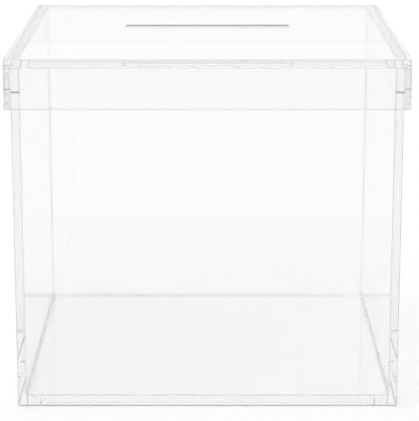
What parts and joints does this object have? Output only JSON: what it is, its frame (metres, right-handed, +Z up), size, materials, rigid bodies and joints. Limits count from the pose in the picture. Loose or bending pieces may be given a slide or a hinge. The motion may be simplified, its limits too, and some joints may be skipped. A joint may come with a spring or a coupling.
{
  "type": "acrylic wedding card box",
  "caption": "Clear square box of bonded acrylic sheet with a lift-off skirted lid, slotted across the top so that cards can be posted into it.",
  "frame": {"origin": "middle of the underside of the box", "axes": "+Z up, -Y towards the front, with the card slot running along X and lying behind the middle of the lid, at +Y"},
  "size_m": [0.262, 0.262, 0.235],
  "materials": {
    "clear_acrylic": "clear, polished"
  },
  "bodies": {
    "box": {"box_front_panel": "clear_acrylic", "box_back_panel": "clear_acrylic", "box_left_panel": "clear_acrylic", "box_right_panel": "clear_acrylic", "box_base_panel": "clear_acrylic"},
    "lid": {"lid_top_panel": "clear_acrylic", "lid_front_skirt": "clear_acrylic", "lid_back_skirt": "clear_acrylic", "lid_left_skirt": "clear_acrylic", "lid_right_skirt": "clear_acrylic"}
  },
  "joints": [
    {"name": "lid_lift", "type": "slide", "parent": "box", "child": "lid", "axis": [0, 0, 1], "range_m": [0, 0.06]}
  ]
}
